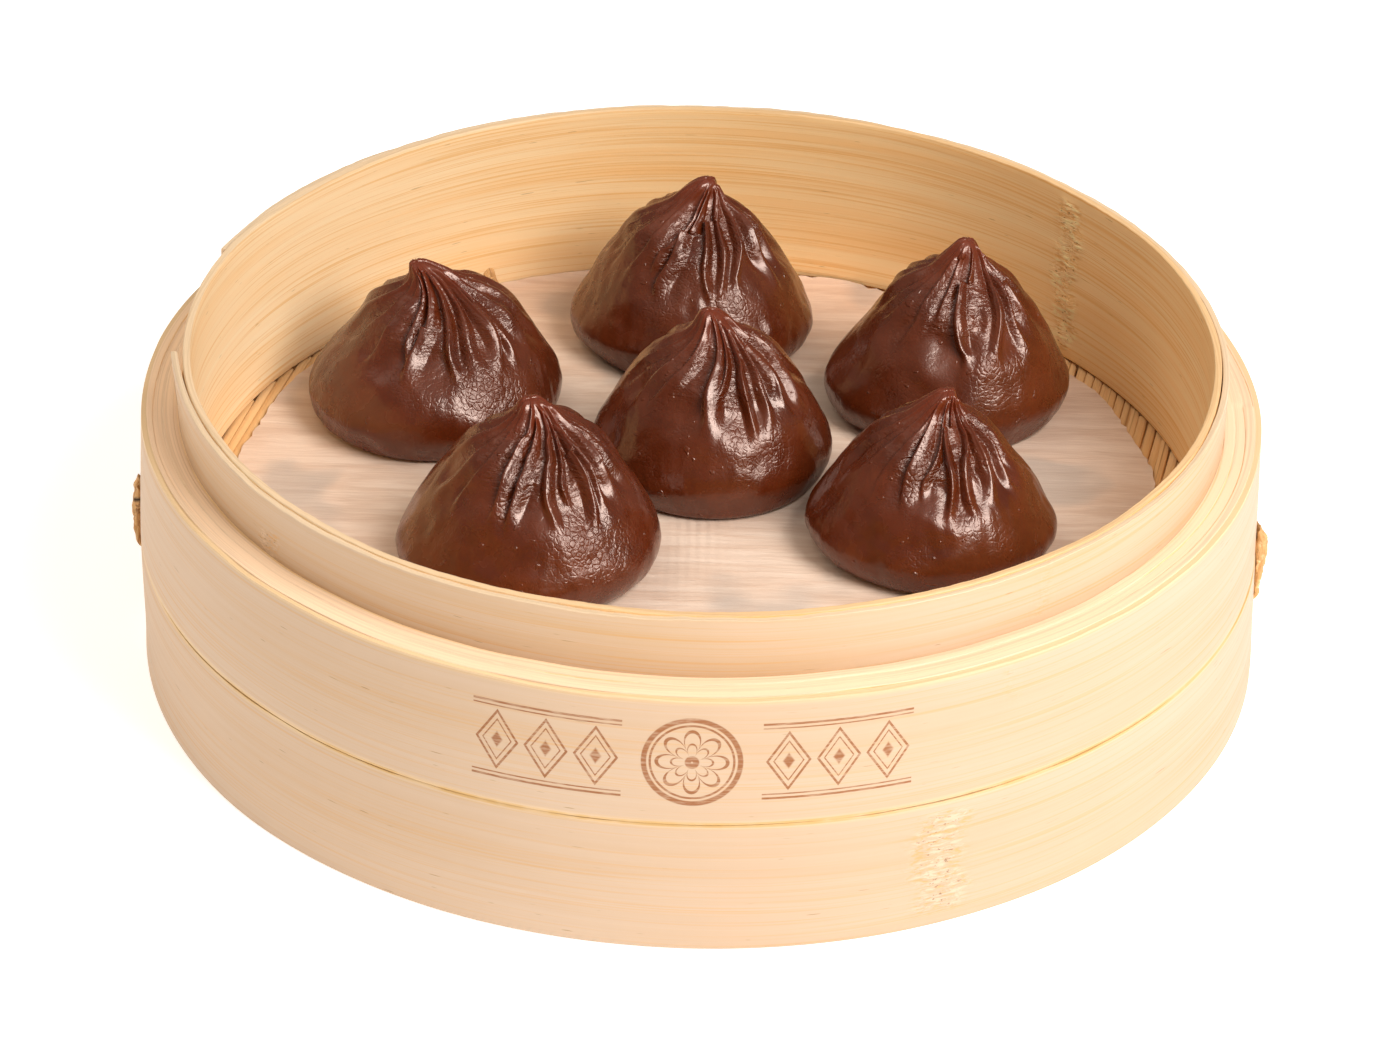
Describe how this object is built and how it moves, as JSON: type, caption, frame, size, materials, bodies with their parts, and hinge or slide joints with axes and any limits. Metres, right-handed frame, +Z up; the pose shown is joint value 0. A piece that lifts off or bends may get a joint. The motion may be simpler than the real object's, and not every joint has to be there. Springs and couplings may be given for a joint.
{
  "type": "soup dumplings in a bamboo steamer",
  "caption": "Pleated soup dumplings of dark cocoa dough on a round paper liner, in an open bamboo steamer basket with a stepped rim for stacking.",
  "frame": {"origin": "centre of the basket's bottom edge, on the surface it stands on", "axes": "+Z up, -Y towards the front, where the free part of the floor is, +X to the right"},
  "size_m": [0.2189, 0.2142, 0.0629],
  "materials": {
    "bamboo_rim": "smooth dry bamboo, fine grain lines",
    "bamboo_hoop": "sanded bamboo strip edges",
    "bamboo_band": "smooth satin bamboo veneer",
    "bamboo_slat": "split bamboo, matt",
    "steamer_paper": "thin fibrous matt paper",
    "cocoa_dough": "moist glossy steamed dough skin",
    "cane": "rough split cane"
  },
  "bodies": {
    "root": {"rim_inner_hoop": "bamboo_rim", "rim_wrap": "bamboo_rim", "ledge_hoop": "bamboo_hoop", "upper_band": "bamboo_band", "lower_band": "bamboo_band", "support_hoop": "bamboo_hoop", "slat_floor": "bamboo_slat", "batten_front": "bamboo_slat", "batten_middle": "bamboo_slat", "batten_rear": "bamboo_slat", "paper_liner": "steamer_paper", "lashing_left": "cane", "lashing_right": "cane", "lashing_back": "cane", "dumpling_left_back": "cocoa_dough", "dumpling_left_front": "cocoa_dough", "dumpling_back": "cocoa_dough", "dumpling_middle": "cocoa_dough", "dumpling_right_front": "cocoa_dough", "dumpling_right_back": "cocoa_dough"}
  },
  "joints": []
}
